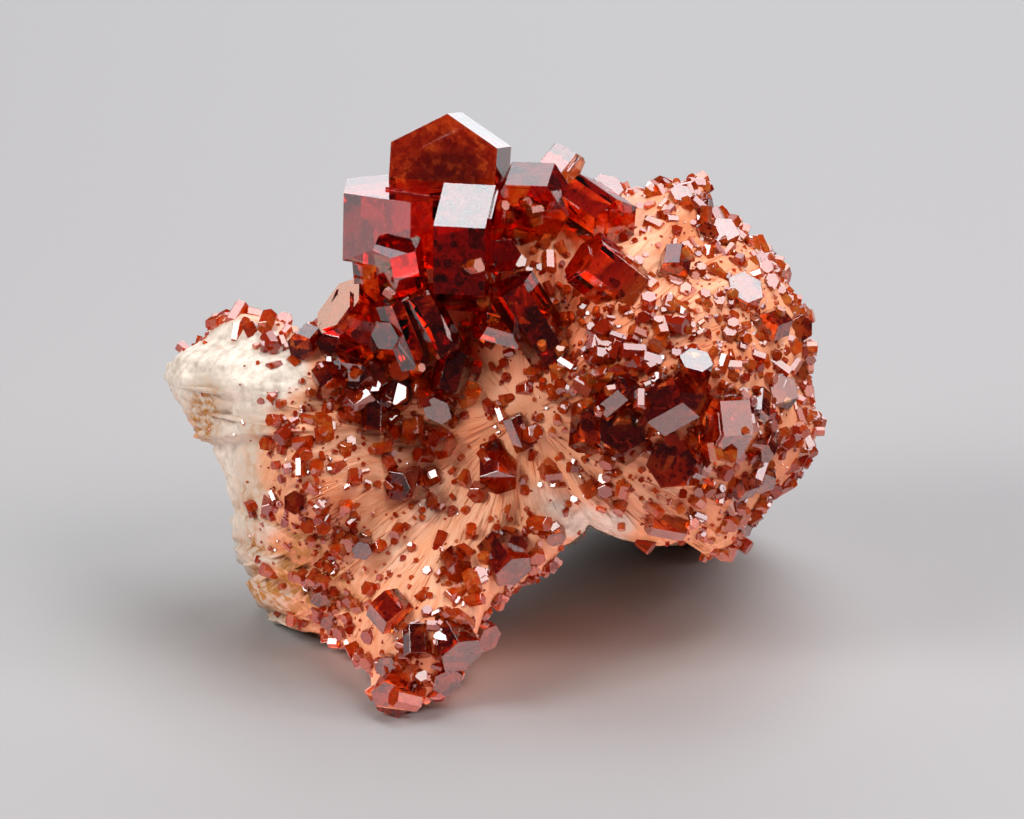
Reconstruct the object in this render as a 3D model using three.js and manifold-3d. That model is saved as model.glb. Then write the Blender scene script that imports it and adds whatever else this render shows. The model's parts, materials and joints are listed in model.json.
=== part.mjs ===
// Vanadinite crystals on a matrix of bladed barite. Millimetres, +Z up, origin under the middle.
// The specimen is shaped face-on, with x to the right, y up the face and z out of it, and is then
// leaned back so that its front leg and its back mass stand on the surface below.
import * as THREE from "three";
import { mergeVertices } from "three/addons/utils/BufferGeometryUtils.js";
import Module from "manifold-3d";

const wasm = await Module();
wasm.setup();

// Scale and stance
const MM_PER_PIXEL = 0.11;
const FOOT_PIXEL = [400, 716];
const FAN_PIXEL = [525, 415];
const LEAN = THREE.MathUtils.degToRad(22);
const SEAT_GAP = 0.3;
const FLOOR_SPAN = 400;

// Matrix: rings of its front and back, middle depths, roundness of front and back, and roughness
const FRONT_RINGS = 10;
const BACK_RINGS = 7;
const FRONT_DEPTH = 0;
const BACK_DEPTH = -44;
const FRONT_ROUNDNESS = 2.3;
const BACK_ROUNDNESS = 6;
const BACK_ROUGHNESS = 2.4;
const BACK_BLEND = { start: 0.1, full: 0.8 };
const RIM_FADE = 6;
const POLE_SNAP = 1e-12;

// Lumps of the matrix: pairs of crossed waves, each with radians per mm along x, y and z and a phase
const LUMP_HEIGHT = 0.55;
const LUMP_WAVES = [
  { share: 1, across: [0.31, 0, 0.22, 1.3], along: [0, 0.37, -0.18, 0.4] },
  { share: 0.7, across: [0.83, -0.35, 0, 2.1], along: [0, 0.71, 0.44, 0.9] },
];

// Ridges that run out from the root of the fan: waves in a full turn, and where they set in
const RIDGE_HEIGHT = 0.35;
const RIDGE_WAVES = [
  { count: 13, share: 1, phase: 0.6 },
  { count: 21, share: 0.8, phase: 2.2 },
];
const RIDGE_REACH = { start: 0.2, full: 0.7 };

// The rim of the matrix, round from its right side: pixel place, rim depth and back depth in mm
const RIM = [
  { pixel: [818, 430], rim: -15, back: -44 },
  { pixel: [809, 385], rim: -16, back: -42 },
  { pixel: [808, 330], rim: -16, back: -39 },
  { pixel: [790, 290], rim: -17, back: -37 },
  { pixel: [773, 257], rim: -17, back: -36 },
  { pixel: [745, 234], rim: -18, back: -35 },
  { pixel: [710, 210], rim: -18, back: -34 },
  { pixel: [704, 184], rim: -19, back: -33 },
  { pixel: [680, 180], rim: -19, back: -33 },
  { pixel: [650, 192], rim: -19, back: -33 },
  { pixel: [615, 194], rim: -20, back: -33 },
  { pixel: [556, 192], rim: -15, back: -33 },
  { pixel: [500, 204], rim: -13, back: -33 },
  { pixel: [455, 214], rim: -12, back: -33 },
  { pixel: [405, 236], rim: -12, back: -33 },
  { pixel: [364, 277], rim: -13, back: -32 },
  { pixel: [338, 322], rim: -13, back: -32 },
  { pixel: [312, 332], rim: -14, back: -31 },
  { pixel: [264, 316], rim: -18, back: -30 },
  { pixel: [235, 311], rim: -19, back: -30 },
  { pixel: [218, 318], rim: -20, back: -30 },
  { pixel: [205, 337], rim: -20, back: -30 },
  { pixel: [175, 357], rim: -20, back: -29 },
  { pixel: [166, 378], rim: -20, back: -29 },
  { pixel: [180, 412], rim: -20, back: -29 },
  { pixel: [190, 438], rim: -20, back: -30 },
  { pixel: [216, 445], rim: -20, back: -30 },
  { pixel: [226, 480], rim: -20, back: -31 },
  { pixel: [236, 515], rim: -20, back: -32 },
  { pixel: [232, 535], rim: -21, back: -32 },
  { pixel: [246, 572], rim: -22, back: -33 },
  { pixel: [256, 608], rim: -23, back: -33 },
  { pixel: [285, 627], rim: -24, back: -33 },
  { pixel: [320, 634], rim: -20, back: -34 },
  { pixel: [350, 648], rim: -12, back: -30 },
  { pixel: [370, 672], rim: -6, back: -22 },
  { pixel: [374, 700], rim: -3, back: -14 },
  { pixel: [388, 714], rim: -1, back: -11 },
  { pixel: [410, 712], rim: -1, back: -11 },
  { pixel: [440, 690], rim: -2, back: -14 },
  { pixel: [462, 672], rim: -3, back: -20 },
  { pixel: [476, 640], rim: -4, back: -26 },
  { pixel: [484, 612], rim: -5, back: -32 },
  { pixel: [505, 592], rim: -6, back: -36 },
  { pixel: [540, 574], rim: -7, back: -40 },
  { pixel: [562, 546], rim: -8, back: -44 },
  { pixel: [590, 526], rim: -9, back: -48 },
  { pixel: [620, 538], rim: -10, back: -52 },
  { pixel: [660, 546], rim: -11, back: -57 },
  { pixel: [685, 541], rim: -11, back: -58 },
  { pixel: [707, 557], rim: -11, back: -58 },
  { pixel: [735, 546], rim: -12, back: -57 },
  { pixel: [752, 520], rim: -13, back: -52 },
  { pixel: [770, 496], rim: -14, back: -50 },
  { pixel: [800, 468], rim: -15, back: -47 },
];

// Swellings and hollows of the front: pixel place, width and height in mm
const LOBES = [
  { pixel: [690, 385], width: 13, height: 8.5 },
  { pixel: [640, 300], width: 9, height: 2.5 },
  { pixel: [290, 480], width: 7, height: 6 },
  { pixel: [230, 385], width: 6, height: 3 },
  { pixel: [420, 640], width: 7, height: 4 },
  { pixel: [455, 500], width: 8, height: -4.5 },
  { pixel: [400, 430], width: 7, height: -2.5 },
  { pixel: [455, 325], width: 6, height: -2.5 },
];

// Barite blades standing on edge along the fan: pixel place of the middle, length, crest and width
const BLADE_ROOT = 2;
const BLADE_OUTER_STEP = 0.1;
const BLADE_INNER_DIP = 0.4;
const BLADES = [
  { pixel: [262, 560], length: 9, crest: 1.6, width: 1.1 },
  { pixel: [300, 612], length: 10, crest: 1.7, width: 1.2 },
  { pixel: [338, 575], length: 9, crest: 1.8, width: 1.0 },
  { pixel: [356, 500], length: 10, crest: 1.6, width: 0.9 },
  { pixel: [385, 520], length: 10, crest: 1.3, width: 1.0 },
  { pixel: [405, 548], length: 11, crest: 1.4, width: 1.1 },
  { pixel: [470, 540], length: 8, crest: 1.4, width: 1.0 },
  { pixel: [602, 510], length: 6, crest: 1.4, width: 1.1 },
  { pixel: [690, 520], length: 7, crest: 1.5, width: 1.1 },
  { pixel: [716, 536], length: 6, crest: 1.3, width: 1.0 },
  { pixel: [655, 300], length: 9, crest: 1.2, width: 1.1 },
  { pixel: [708, 262], length: 8, crest: 1.2, width: 1.0 },
  { pixel: [205, 390], length: 8, crest: 1.5, width: 1.3 },
  { pixel: [240, 420], length: 8, crest: 1.4, width: 1.2 },
];

// Crystals: pixel place of the middle of the free end, its depth (or its lift off the matrix), the
// way the axis points (swing in the face, tilt out of it), spin, width of a side and length in mm
const CRYSTALS = [
  { name: "crown", pixel: [442, 178], depth: -6, swing: 190, tilt: 76, spin: 46, side: 7.1, length: 6.5 },
  { name: "shoulder", pixel: [414, 187], depth: -4, swing: 89, tilt: 12, spin: 28, side: 8.5, length: 7.6 },
  { name: "front", pixel: [496, 248], depth: 1.5, swing: -3, tilt: 11, spin: 15, side: 7.2, length: 5.8 },
  { name: "front_step", pixel: [397, 244], depth: 3.8, swing: 100, tilt: 35, spin: 10, side: 2.7, length: 6 },
  { name: "back", pixel: [527, 217], depth: -3, swing: 252, tilt: 63, spin: 18, side: 4.6, length: 6 },
  { name: "upper", pixel: [566, 181], depth: -11, swing: -30, tilt: 15, spin: 30, side: 3.9, length: 2.7 },
  { name: "orange", pixel: [614, 226], depth: -1.5, swing: -35, tilt: 45, spin: 40, side: 3.3, length: 7 },
  { name: "dark_bar", pixel: [583, 258], depth: 3.6, swing: 142, tilt: 20, spin: 15, side: 3.4, length: 6.9 },
  { name: "tip", pixel: [607, 186], depth: -9, swing: 70, tilt: 50, spin: 10, side: 1.9, length: 5 },
  { name: "column", pixel: [510, 284], depth: 4.6, swing: 122, tilt: 17, spin: 57, side: 2.9, length: 9.5 },
  { name: "stepped", pixel: [480, 325], depth: 3.6, swing: 164, tilt: 30, spin: 30, side: 1.7, length: 6 },
  { name: "face_plate", pixel: [503, 256], depth: 3.0, swing: 320, tilt: 70, spin: 12, side: 2.1, length: 6 },
  { name: "left_hex", pixel: [338, 306], depth: -4, swing: 144, tilt: 25, spin: 0, side: 3.9, length: 6.2 },
  { name: "left_under", pixel: [369, 259], depth: -3, swing: 95, tilt: 25, spin: 5, side: 1.9, length: 5 },
  { name: "leaning", pixel: [393, 298], depth: 2.2, swing: 112, tilt: 18, spin: 20, side: 2.3, length: 8 },
  { name: "twin", pixel: [414, 293], depth: 2.6, swing: 118, tilt: 12, spin: 10, side: 2.3, length: 7.5 },
  { name: "wedge", pixel: [385, 336], depth: 2.6, swing: 200, tilt: 60, spin: 10, side: 1.7, length: 4 },
  { name: "lap_top", pixel: [354, 352], lift: 2.6, swing: 80, tilt: 40, spin: 0, side: 2.3, length: 4.4 },
  { name: "lap_left", pixel: [329, 343], lift: 2.2, swing: 130, tilt: 60, spin: 15, side: 1.5, length: 3.4 },
  { name: "lap_low", pixel: [352, 372], lift: 1.8, swing: 250, tilt: 70, spin: 5, side: 1.9, length: 3.4 },
  { name: "left_bead", pixel: [300, 347], lift: 2.0, swing: 230, tilt: 60, spin: 20, side: 1.6, length: 3.2 },
  { name: "brown", pixel: [446, 394], lift: 2.2, swing: -106, tilt: 12, spin: 0, side: 2.0, length: 4.6 },
  { name: "dusk", pixel: [437, 411], lift: 1.8, swing: 240, tilt: 50, spin: 8, side: 1.8, length: 3.4 },
  { name: "plum", pixel: [400, 393], lift: 1.8, swing: 20, tilt: 70, spin: 10, side: 1.6, length: 3.2 },
  { name: "plum_cube", pixel: [385, 402], lift: 2.0, swing: 250, tilt: 40, spin: 0, side: 0.9, length: 2.6 },
  { name: "dark_cube", pixel: [334, 389], lift: 1.8, swing: 300, tilt: 45, spin: 12, side: 1.6, length: 3.2 },
  { name: "square", pixel: [373, 433], lift: 1.6, swing: 268, tilt: 14, spin: 0, side: 1.6, length: 3.4 },
  { name: "amber", pixel: [446, 447], lift: 1.8, swing: 320, tilt: 40, spin: 15, side: 1.7, length: 3.2 },
  { name: "bay", pixel: [498, 483], lift: 2.8, swing: -90, tilt: 35, spin: 30, side: 2.3, length: 4.4 },
  { name: "twig", pixel: [512, 416], lift: 0.6, swing: 112, tilt: 12, spin: 20, side: 1.2, length: 4 },
  { name: "grape", pixel: [396, 487], lift: 2.0, swing: 200, tilt: 55, spin: 5, side: 1.8, length: 3.6 },
  { name: "grape_chip", pixel: [418, 493], lift: 1.8, swing: 280, tilt: 45, spin: 0, side: 1.3, length: 3 },
  { name: "arch", pixel: [514, 572], lift: 2.4, swing: -55, tilt: 35, spin: 15, side: 2.4, length: 4.6 },
  { name: "arch_bud", pixel: [518, 545], lift: 1.6, swing: 260, tilt: 75, spin: 10, side: 1.15, length: 3 },
  { name: "arch_rose", pixel: [556, 540], lift: 1.4, swing: -80, tilt: 40, spin: 0, side: 1.2, length: 3 },
  { name: "tilted", pixel: [398, 621], lift: 0.9, swing: -49, tilt: 20, spin: 0, side: 2.3, length: 3 },
  { name: "foot", pixel: [462, 656], lift: 3.2, swing: -60, tilt: 35, spin: 20, side: 2.7, length: 5.4 },
  { name: "heel", pixel: [490, 639], lift: 2.2, swing: -30, tilt: 40, spin: 10, side: 1.7, length: 4.6 },
  { name: "foot_low", pixel: [448, 683], lift: 2.6, swing: -70, tilt: 50, spin: 5, side: 1.9, length: 4.6 },
  { name: "toe", pixel: [391, 700], lift: 2.4, swing: 240, tilt: 50, spin: 12, side: 2.4, length: 5 },
  { name: "shin", pixel: [418, 656], lift: 1.0, swing: -88, tilt: 18, spin: 0, side: 1.6, length: 3.4 },
  { name: "calf", pixel: [387, 668], lift: 1.6, swing: 220, tilt: 60, spin: 0, side: 1.4, length: 3.2 },
  { name: "knee", pixel: [460, 572], lift: 1.6, swing: 300, tilt: 55, spin: 10, side: 1.6, length: 3.2 },
  { name: "ridge", pixel: [691, 392], lift: 2.6, swing: 29, tilt: 28, spin: 40, side: 3.1, length: 5 },
  { name: "window", pixel: [706, 425], lift: 1.2, swing: 182, tilt: 30, spin: 9, side: 4.0, length: 3.8 },
  { name: "bright", pixel: [696, 360], lift: 3.2, swing: 75, tilt: 42, spin: 0, side: 1.9, length: 5 },
  { name: "triangle", pixel: [628, 387], lift: 2.4, swing: 40, tilt: 40, spin: 10, side: 1.8, length: 4 },
  { name: "hexagon", pixel: [671, 464], lift: 2.6, swing: 180, tilt: 73, spin: 35, side: 2.9, length: 4.8 },
  { name: "star", pixel: [622, 428], lift: 2.4, swing: 100, tilt: 72, spin: 20, side: 2.9, length: 4.6 },
  { name: "dark_side", pixel: [587, 448], lift: 1.9, swing: -95, tilt: 20, spin: 0, side: 2.1, length: 5 },
  { name: "brick", pixel: [649, 522], lift: 1.6, swing: 170, tilt: 22, spin: 10, side: 1.5, length: 4.2 },
  { name: "coral", pixel: [763, 484], lift: 2.0, swing: -75, tilt: 40, spin: 10, side: 1.7, length: 3.8 },
  { name: "coral_left", pixel: [734, 489], lift: 1.8, swing: 200, tilt: 60, spin: 0, side: 1.5, length: 3.4 },
  { name: "hem", pixel: [743, 532], lift: 1.6, swing: 290, tilt: 42, spin: 0, side: 1.25, length: 3.2 },
  { name: "pink", pixel: [757, 417], lift: 1.2, swing: 265, tilt: 40, spin: 10, side: 1.4, length: 3.4 },
  { name: "rust", pixel: [761, 453], lift: 2.0, swing: 250, tilt: 45, spin: 15, side: 1.6, length: 3.4 },
  { name: "flank", pixel: [785, 392], lift: 2.2, swing: 5, tilt: 52, spin: 10, side: 2.1, length: 4.4 },
  { name: "edge", pixel: [802, 370], lift: 1.6, swing: 20, tilt: 45, spin: 0, side: 1.25, length: 3 },
  { name: "rim", pixel: [803, 328], lift: 2.4, swing: -10, tilt: 65, spin: 10, side: 1.5, length: 3.6 },
  { name: "lilac", pixel: [764, 328], lift: 1.4, swing: 200, tilt: 60, spin: 20, side: 1.8, length: 3.6 },
  { name: "cream", pixel: [746, 287], lift: 2.2, swing: 60, tilt: 48, spin: 0, side: 2.2, length: 3.6 },
  { name: "peach", pixel: [673, 275], lift: 1.7, swing: 260, tilt: 55, spin: 15, side: 1.8, length: 3.8 },
  { name: "tablet", pixel: [712, 213], lift: 1.6, swing: 2, tilt: 15, spin: 20, side: 1.8, length: 3.4 },
  { name: "plate", pixel: [726, 232], lift: 2.4, swing: 30, tilt: 55, spin: 0, side: 1.9, length: 4 },
  { name: "chip", pixel: [709, 230], lift: 1.8, swing: 60, tilt: 45, spin: 10, side: 1.3, length: 3.4 },
  { name: "glow", pixel: [660, 187], lift: 2.2, swing: 120, tilt: 55, spin: 0, side: 1.7, length: 4.4 },
  { name: "glow_right", pixel: [682, 192], lift: 2.0, swing: 70, tilt: 50, spin: 10, side: 1.3, length: 3.6 },
  { name: "spike", pixel: [768, 250], lift: 1.4, swing: 80, tilt: 25, spin: 0, side: 1.15, length: 3.6 },
  { name: "left_disc", pixel: [294, 503], lift: 1.6, swing: 180, tilt: 75, spin: 0, side: 1.35, length: 3 },
  { name: "left_pink", pixel: [362, 551], lift: 1.6, swing: 260, tilt: 65, spin: 0, side: 1.2, length: 3 },
  { name: "corner", pixel: [321, 600], lift: 1.6, swing: 290, tilt: 45, spin: 0, side: 1.25, length: 3 },
  { name: "ledge", pixel: [330, 624], lift: 1.6, swing: 275, tilt: 45, spin: 10, side: 1.25, length: 3 },
];

// Growth steps on the ends of the larger crystals
const STEP_LEAST_SIDE = 3.3;
const STEP_WIDTH = 0.66;
const STEP_SHIFT = 0.26;
const STEP_HEIGHT = 0.3;
const SIDE_VARIATION = 0.04;

// Crust of small crystals grown on the front of the matrix: pixel place, width of a side, and pointing
const CRUST_LENGTH = 2.6;
const CRUST_LIFT = 1.1;
const CRUST = [
  { pixel: [266, 312], side: 0.9, swing: 200, tilt: 60 },
  { pixel: [264, 328], side: 0.95, swing: 250, tilt: 55 },
  { pixel: [273, 347], side: 0.9, swing: 300, tilt: 60 },
  { pixel: [322, 417], side: 0.95, swing: 70, tilt: 45 },
  { pixel: [327, 437], side: 0.95, swing: 280, tilt: 45 },
  { pixel: [268, 511], side: 0.95, swing: 260, tilt: 50 },
  { pixel: [307, 527], side: 0.9, swing: 250, tilt: 70 },
  { pixel: [323, 528], side: 0.95, swing: 290, tilt: 70 },
  { pixel: [346, 546], side: 0.95, swing: 240, tilt: 65 },
  { pixel: [536, 431], side: 1.0, swing: 30, tilt: 60 },
  { pixel: [558, 362], side: 1.2, swing: 100, tilt: 50 },
  { pixel: [607, 371], side: 1.1, swing: 120, tilt: 50 },
  { pixel: [476, 496], side: 1.1, swing: 240, tilt: 50 },
  { pixel: [472, 390], side: 1.2, swing: 60, tilt: 60 },
  { pixel: [410, 424], side: 0.9, swing: 80, tilt: 50 },
  { pixel: [463, 551], side: 1.1, swing: 80, tilt: 60 },
  { pixel: [475, 590], side: 1.0, swing: 290, tilt: 45 },
  { pixel: [538, 560], side: 1.0, swing: 290, tilt: 50 },
  { pixel: [605, 492], side: 0.95, swing: 270, tilt: 55 },
  { pixel: [698, 177], side: 1.0, swing: 60, tilt: 45 },
  { pixel: [752, 236], side: 1.0, swing: 95, tilt: 20 },
  { pixel: [787, 298], side: 0.85, swing: 60, tilt: 40 },
  { pixel: [797, 346], side: 1.0, swing: 20, tilt: 50 },
  { pixel: [803, 456], side: 1.1, swing: 300, tilt: 45 },
  { pixel: [788, 440], side: 1.2, swing: 30, tilt: 60 },
  { pixel: [729, 526], side: 1.1, swing: 240, tilt: 45 },
  { pixel: [636, 188], side: 0.95, swing: 80, tilt: 45 },
  { pixel: [655, 346], side: 1.0, swing: 220, tilt: 55 },
  { pixel: [730, 330], side: 1.0, swing: 40, tilt: 60 },
];

function seededRandom(seed) {
  let state = seed;
  return () => {
    state = (state + 0x6d2b79f5) | 0;
    let mixed = Math.imul(state ^ (state >>> 15), 1 | state);
    mixed = (mixed + Math.imul(mixed ^ (mixed >>> 7), 61 | mixed)) ^ mixed;
    return ((mixed ^ (mixed >>> 14)) >>> 0) / 4294967296;
  };
}

function faceX(pixel) {
  return (pixel[0] - FOOT_PIXEL[0]) * MM_PER_PIXEL;
}

function faceY(pixel) {
  return (FOOT_PIXEL[1] - pixel[1]) * MM_PER_PIXEL;
}

const FAN_X = faceX(FAN_PIXEL);
const FAN_Y = faceY(FAN_PIXEL);
const FULL_TURN = Math.PI * 2;

// The rim in polar form about the fan's root, sorted by angle
const polarRim = RIM.map(({ pixel, rim, back }) => {
  const dx = faceX(pixel) - FAN_X;
  const dy = faceY(pixel) - FAN_Y;
  const angle = (Math.atan2(dy, dx) + FULL_TURN) % FULL_TURN;
  return { angle, radius: Math.hypot(dx, dy), rim, back };
}).sort((a, b) => a.angle - b.angle);

function rimAt(angle) {
  const turned = ((angle % FULL_TURN) + FULL_TURN) % FULL_TURN;
  let next = polarRim.findIndex((entry) => entry.angle > turned);
  if (next < 0) {
    next = 0;
  }
  const after = polarRim[next];
  const before = polarRim[(next + polarRim.length - 1) % polarRim.length];
  const span = (after.angle - before.angle + FULL_TURN) % FULL_TURN;
  const share = ((turned - before.angle + FULL_TURN) % FULL_TURN) / span;
  return {
    radius: THREE.MathUtils.lerp(before.radius, after.radius, share),
    rim: THREE.MathUtils.lerp(before.rim, after.rim, share),
    back: THREE.MathUtils.lerp(before.back, after.back, share),
  };
}

// Lumps are crossed waves over the surface; ridges are waves round the fan
function lumps(x, y, z) {
  const wave = ([byX, byY, byZ, phase]) => Math.sin(byX * x + byY * y + byZ * z + phase);
  const sum = LUMP_WAVES.reduce((total, { share, across, along }) => {
    return total + share * wave(across) * wave(along);
  }, 0);
  return LUMP_HEIGHT * sum;
}

function ridges(angle, reach) {
  const sum = RIDGE_WAVES.reduce((total, { count, share, phase }) => {
    return total + share * Math.sin(count * angle + phase);
  }, 0);
  const grown = THREE.MathUtils.smoothstep(reach, RIDGE_REACH.start, RIDGE_REACH.full);
  return RIDGE_HEIGHT * sum * grown;
}

function lobesAt(x, y) {
  return LOBES.reduce((sum, { pixel, width, height }) => {
    const away = Math.hypot(x - faceX(pixel), y - faceY(pixel)) / width;
    return sum + height * Math.exp(-away * away);
  }, 0);
}

// Depth of the front at a place on the face; past the rim it is the rim's own depth
function frontDepth(x, y) {
  const angle = Math.atan2(y - FAN_Y, x - FAN_X);
  const { radius, rim } = rimAt(angle);
  const reach = Math.min(1, Math.hypot(x - FAN_X, y - FAN_Y) / radius);
  const dome = (1 - reach ** FRONT_ROUNDNESS) ** (1 / FRONT_ROUNDNESS);
  const swell = (lobesAt(x, y) + ridges(angle, reach)) * (1 - reach ** RIM_FADE);
  return rim + (FRONT_DEPTH - rim) * dome + swell;
}

function solidOf(geometry) {
  geometry.deleteAttribute("normal");
  geometry.deleteAttribute("uv");
  const merged = mergeVertices(geometry);
  const mesh = new wasm.Mesh({
    numProp: 3,
    vertProperties: new Float32Array(merged.attributes.position.array),
    triVerts: new Uint32Array(merged.index.array),
  });
  return new wasm.Manifold(mesh);
}

function geometryOf(solid) {
  const mesh = solid.getMesh();
  const geometry = new THREE.BufferGeometry();
  geometry.setAttribute("position", new THREE.BufferAttribute(mesh.vertProperties, 3));
  geometry.setIndex(new THREE.BufferAttribute(mesh.triVerts, 1));
  return geometry;
}

// A sphere with a spoke to each place of the rim, swollen in front and filled out behind
function matrixBody() {
  const spokes = polarRim.length;
  const geometry = new THREE.SphereGeometry(1, spokes, FRONT_RINGS + BACK_RINGS);
  const place = geometry.attributes.position;
  for (let i = 0; i < place.count; i += 1) {
    const { angle, radius, rim, back } = polarRim[(i % (spokes + 1)) % spokes];
    const ring = Math.floor(i / (spokes + 1));
    const isFront = ring <= FRONT_RINGS;
    const step = isFront ? ring / FRONT_RINGS : 1 + (ring - FRONT_RINGS) / BACK_RINGS;
    const fromFront = (step * Math.PI) / 2;
    const roundness = isFront ? FRONT_ROUNDNESS : BACK_ROUNDNESS;
    const reach = Math.max(0, Math.sin(fromFront) - POLE_SNAP) ** (2 / roundness);
    const dome = Math.abs(Math.cos(fromFront)) ** (2 / roundness);
    const x = FAN_X + reach * radius * Math.cos(angle);
    const y = FAN_Y + reach * radius * Math.sin(angle);
    let depth = frontDepth(x, y);
    if (!isFront) {
      const outward = THREE.MathUtils.smoothstep(reach, BACK_BLEND.start, BACK_BLEND.full);
      depth = rim + (THREE.MathUtils.lerp(BACK_DEPTH, back, outward) - rim) * dome;
    }
    const rough = isFront ? 1 : BACK_ROUGHNESS;
    const lift = lumps(x, y, depth) * rough * (1 - reach ** RIM_FADE);
    place.setXYZ(i, x, y, depth + lift);
  }
  return solidOf(geometry);
}

// A blade is a low arched plate in the plane of the fan's spoke and the depth
function bladeBody({ pixel, length, crest, width }) {
  const x = faceX(pixel);
  const y = faceY(pixel);
  const outline = new THREE.Shape();
  outline.moveTo(-length / 2, -BLADE_ROOT);
  outline.lineTo(length / 2, -BLADE_ROOT);
  outline.lineTo(length / 2, BLADE_OUTER_STEP);
  outline.quadraticCurveTo(length / 4, crest, 0, crest);
  outline.quadraticCurveTo(-length / 3, crest, -length / 2, -BLADE_INNER_DIP);
  const geometry = new THREE.ExtrudeGeometry(outline, {
    depth: width,
    bevelEnabled: false,
    curveSegments: 2,
  });
  geometry.translate(0, 0, -width / 2);
  const spoke = new THREE.Vector3(x - FAN_X, y - FAN_Y, 0).normalize();
  const away = new THREE.Vector3(spoke.y, -spoke.x, 0);
  const rise = frontDepth(x + spoke.x, y + spoke.y) - frontDepth(x - spoke.x, y - spoke.y);
  const along = new THREE.Vector3(spoke.x, spoke.y, rise / 2).normalize();
  const out = new THREE.Vector3().crossVectors(away, along);
  const turn = new THREE.Matrix4().makeBasis(along, out, away);
  turn.setPosition(x, y, frontDepth(x, y));
  geometry.applyMatrix4(turn);
  return solidOf(geometry);
}

// A six-sided prism whose faces lie at slightly uneven distances from the axis
function prismGeometry(side, length, uneven, grow) {
  const flat = Math.PI / 3;
  const distances = uneven.map((share) => side * Math.cos(flat / 2) * share + grow);
  const corners = distances.map((near, i) => {
    const next = distances[(i + 1) % 6];
    const across = (next - near * Math.cos(flat)) / Math.sin(flat);
    const angle = flat * (i + 0.5) - flat;
    const cos = Math.cos(angle);
    const sin = Math.sin(angle);
    return new THREE.Vector2(near * cos - across * sin, near * sin + across * cos);
  });
  const geometry = new THREE.ExtrudeGeometry(new THREE.Shape(corners), {
    depth: length + 2 * grow,
    bevelEnabled: false,
  });
  geometry.translate(0, 0, -length - grow);
  return geometry;
}

// The free end's middle and the crystal's own axes, from its row
function placing({ pixel, depth, lift, swing, tilt, spin }) {
  const turnedBy = THREE.MathUtils.degToRad(swing);
  const raisedBy = THREE.MathUtils.degToRad(tilt);
  const axis = new THREE.Vector3(
    Math.cos(turnedBy) * Math.cos(raisedBy),
    Math.sin(turnedBy) * Math.cos(raisedBy),
    Math.sin(raisedBy),
  );
  const level = new THREE.Vector3(-Math.sin(turnedBy), Math.cos(turnedBy), 0);
  const facing = new THREE.Vector3().crossVectors(axis, level);
  const x = faceX(pixel);
  const y = faceY(pixel);
  const turn = new THREE.Matrix4().makeBasis(level, facing, axis);
  turn.setPosition(x, y, depth ?? frontDepth(x, y) + lift);
  const spun = new THREE.Matrix4().makeRotationZ(THREE.MathUtils.degToRad(spin));
  return turn.multiply(spun);
}

function crystalBody(row, grow) {
  const random = seededRandom(row.pixel[0] * 1000 + row.pixel[1]);
  const uneven = Array.from({ length: 6 }, () => 1 + SIDE_VARIATION * (random() - 0.5) * 2);
  let body = solidOf(prismGeometry(row.side, row.length, uneven, grow).applyMatrix4(placing(row)));
  if (row.side >= STEP_LEAST_SIDE) {
    const heading = Math.floor(random() * 6) * (Math.PI / 3);
    const step = prismGeometry(row.side * STEP_WIDTH, row.length / 2, uneven, grow);
    const shift = row.side * STEP_SHIFT;
    step.translate(shift * Math.cos(heading), shift * Math.sin(heading), STEP_HEIGHT);
    body = body.add(solidOf(step.applyMatrix4(placing(row))));
  }
  return body;
}

// Everything below the surface that the specimen stands on
function floorBlock() {
  const geometry = new THREE.BoxGeometry(FLOOR_SPAN, FLOOR_SPAN, FLOOR_SPAN);
  geometry.translate(0, -FLOOR_SPAN / 2, 0);
  geometry.rotateX(LEAN);
  return solidOf(geometry);
}

function largestBody(solid) {
  const bodies = solid.decompose();
  return bodies.reduce((best, body) => (body.volume() > best.volume() ? body : best));
}

// Crystals that have grown through each other make one body, named after the widest of them
function clusterCrystals(rows) {
  const clusters = [];
  for (const row of rows) {
    const merged = { widest: row, body: crystalBody(row, 0) };
    const touching = clusters.filter(({ body }) => body.intersect(merged.body).volume() > 0);
    for (const cluster of touching) {
      merged.body = cluster.body.add(merged.body);
      merged.widest = cluster.widest.side < merged.widest.side ? merged.widest : cluster.widest;
      clusters.splice(clusters.indexOf(cluster), 1);
    }
    clusters.push(merged);
  }
  return clusters;
}

const floor = floorBlock();
const clusters = clusterCrystals(CRYSTALS);
const seats = wasm.Manifold.union(CRYSTALS.map((row) => crystalBody(row, SEAT_GAP)));

let matrix = matrixBody();
for (const blade of BLADES) {
  matrix = matrix.add(bladeBody(blade));
}
for (const row of CRUST) {
  const grain = crystalBody({ ...row, lift: CRUST_LIFT, spin: row.swing, length: CRUST_LENGTH }, 0);
  if (grain.intersect(seats).volume() === 0) {
    matrix = matrix.add(grain);
  }
}
matrix = largestBody(matrix.subtract(seats).subtract(floor));

const matrixColour = new THREE.MeshStandardMaterial({ color: 0xd9a983, roughness: 0.7, metalness: 0 });
const crystalColour = { color: 0x7a1c08, roughness: 0.12, metalness: 0 };

const specimen = new THREE.Group();
specimen.name = "specimen";
specimen.rotation.x = Math.PI / 2 - LEAN;

const matrixMesh = new THREE.Mesh(geometryOf(matrix), matrixColour);
matrixMesh.name = "matrix";
specimen.add(matrixMesh);

for (const { widest, body } of clusters) {
  const trimmed = largestBody(body.subtract(floor));
  const mesh = new THREE.Mesh(geometryOf(trimmed), new THREE.MeshStandardMaterial(crystalColour));
  mesh.name = `crystal_${widest.name}`;
  specimen.add(mesh);
}

// The origin goes under the middle of the whole specimen
const part = new THREE.Group();
part.name = "vanadinite_on_matrix";
part.add(specimen);
part.updateMatrixWorld(true);
const extent = new THREE.Box3().setFromObject(part, true);
specimen.position.set(
  -(extent.min.x + extent.max.x) / 2,
  -(extent.min.y + extent.max.y) / 2,
  -extent.min.z,
);

export default part;
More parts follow.
